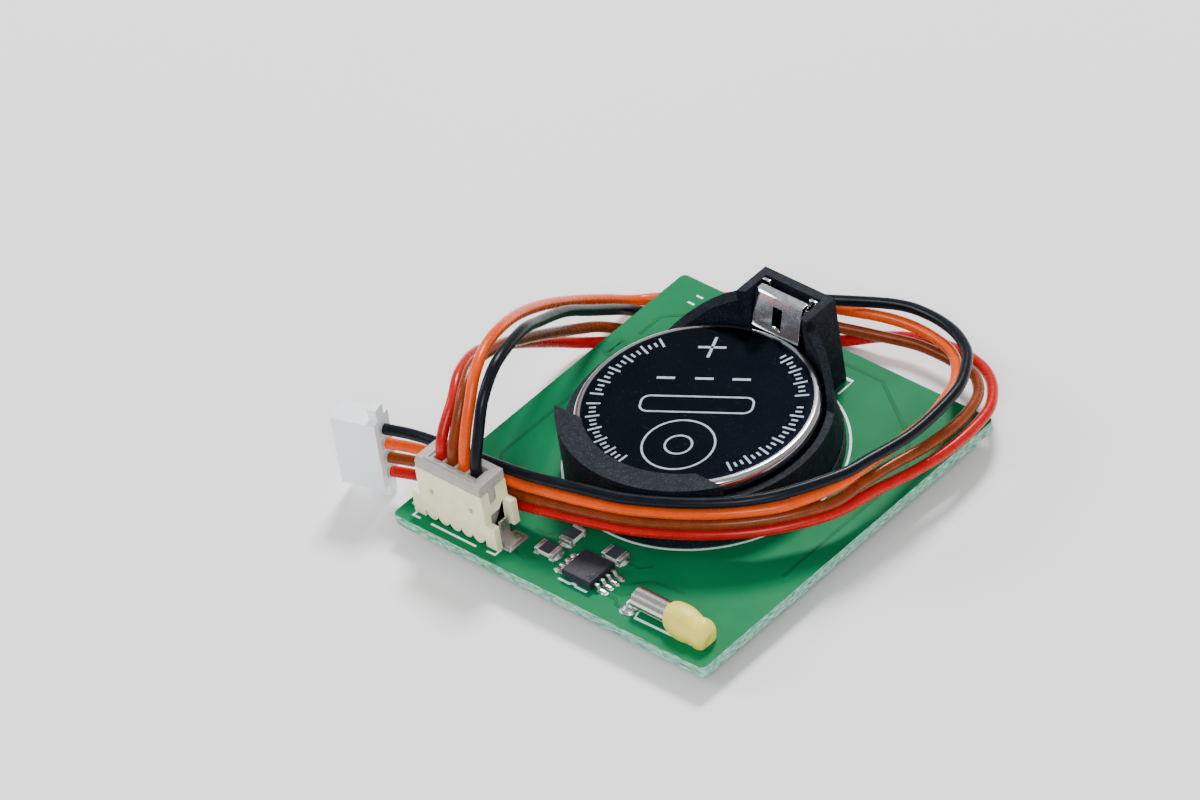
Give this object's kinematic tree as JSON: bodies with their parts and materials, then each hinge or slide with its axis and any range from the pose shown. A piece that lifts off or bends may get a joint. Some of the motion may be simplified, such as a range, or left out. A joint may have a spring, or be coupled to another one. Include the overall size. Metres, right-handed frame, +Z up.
{
  "type": "coin cell backup battery board",
  "caption": "Small circuit board with a coin cell in a hooked holder, a clock chip, a crystal and a four-wire harness ending in a free plug.",
  "frame": {"origin": "under the middle of the board, level with the tips of the pins and pegs", "axes": "+Z up out of the board's top face, +X along the front edge that carries the header and the crystal, +Y towards the holder's tower"},
  "size_m": [0.0422, 0.0408, 0.016],
  "materials": {
    "laminate": "green solder mask over glass fibre laminate, white printed outlines",
    "holder_plastic": "black moulded plastic with a fine speckle",
    "spring_contact": "bright plated spring strip",
    "cell_steel": "polished nickel plated steel with fine scratches",
    "gasket": "moulded seal",
    "cathode": "pressed dark powder",
    "separator": "white non-woven sheet",
    "lithium": "dull soft metal",
    "header_plastic": "cream moulded nylon",
    "plug_plastic": "warm grey moulded nylon",
    "free_plug_plastic": "white moulded nylon",
    "tinned_metal": "tin plated",
    "solder": "bright solder",
    "red_insulation": "smooth red insulation",
    "brown_insulation": "smooth brown insulation",
    "orange_insulation": "smooth orange insulation",
    "black_insulation": "smooth black insulation",
    "chip_plastic": "black moulding compound",
    "crystal_steel": "bright drawn can",
    "glass_seal": "brown sealing glass",
    "adhesive": "pale yellow cured adhesive",
    "resistor_ends": "tinned end caps",
    "resistor_ceramic": "white ceramic with a black glazed top"
  },
  "bodies": {
    "root": {"chip_lead_1": "tinned_metal", "chip_lead_2": "tinned_metal", "chip_lead_3": "tinned_metal", "chip_lead_4": "tinned_metal", "chip_lead_5": "tinned_metal", "chip_lead_6": "tinned_metal", "chip_lead_7": "tinned_metal", "chip_lead_8": "tinned_metal", "clock_chip": "chip_plastic", "crystal_adhesive": "adhesive", "crystal_can": "crystal_steel", "crystal_lead_1": "tinned_metal", "crystal_lead_2": "tinned_metal", "crystal_seal": "glass_seal", "free_crimp_1": "tinned_metal", "free_crimp_2": "tinned_metal", "free_crimp_3": "tinned_metal", "free_crimp_4": "tinned_metal", "free_plug": "free_plug_plastic", "harness_crimp_1": "tinned_metal", "harness_crimp_2": "tinned_metal", "harness_crimp_3": "tinned_metal", "harness_crimp_4": "tinned_metal", "harness_plug": "plug_plastic", "header_housing": "header_plastic", "header_pin_1": "tinned_metal", "header_pin_2": "tinned_metal", "header_pin_3": "tinned_metal", "header_pin_4": "tinned_metal", "header_tab_left": "tinned_metal", "header_tab_right": "tinned_metal", "holder_body": "holder_plastic", "negative_terminal": "spring_contact", "pcb": "laminate", "positive_terminal": "spring_contact", "resistor_1": "resistor_ceramic", "resistor_1_end_a": "resistor_ends", "resistor_1_end_b": "resistor_ends", "resistor_2": "resistor_ceramic", "resistor_2_end_a": "resistor_ends", "resistor_2_end_b": "resistor_ends", "resistor_3": "resistor_ceramic", "resistor_3_end_a": "resistor_ends", "resistor_3_end_b": "resistor_ends", "solder_joint_1": "solder", "solder_joint_2": "solder", "solder_joint_3": "solder", "solder_joint_4": "solder", "wire_black": "black_insulation", "wire_brown": "brown_insulation", "wire_orange": "orange_insulation", "wire_red": "red_insulation"},
    "cell": {"cell_can": "cell_steel", "cell_gasket": "gasket", "cell_cap": "cell_steel", "cathode_pellet": "cathode", "separator": "separator", "lithium_disc": "lithium"},
    "clip": {"positive_clip": "spring_contact"},
    "finger": {"negative_finger": "spring_contact"}
  },
  "joints": [
    {"name": "cell_tilt", "type": "hinge", "parent": "root", "child": "cell", "pos_m": [-0.0002, -0.0053, 0.0078], "axis": [1, 0, 0], "range_deg": [0, 6]},
    {"name": "clip_flex", "type": "hinge", "parent": "root", "child": "clip", "pos_m": [-0.0002, 0.0134, 0.01075], "axis": [1, 0, 0], "range_deg": [0, 15]},
    {"name": "finger_flex", "type": "hinge", "parent": "root", "child": "finger", "pos_m": [-0.0002, -0.00135, 0.0037], "axis": [1, 0, 0], "range_deg": [0, 6]}
  ],
  "couplings": [
    {"joint": "clip_flex", "follows": "cell_tilt", "ratio": 2.4},
    {"joint": "finger_flex", "follows": "cell_tilt", "ratio": 0.9}
  ]
}
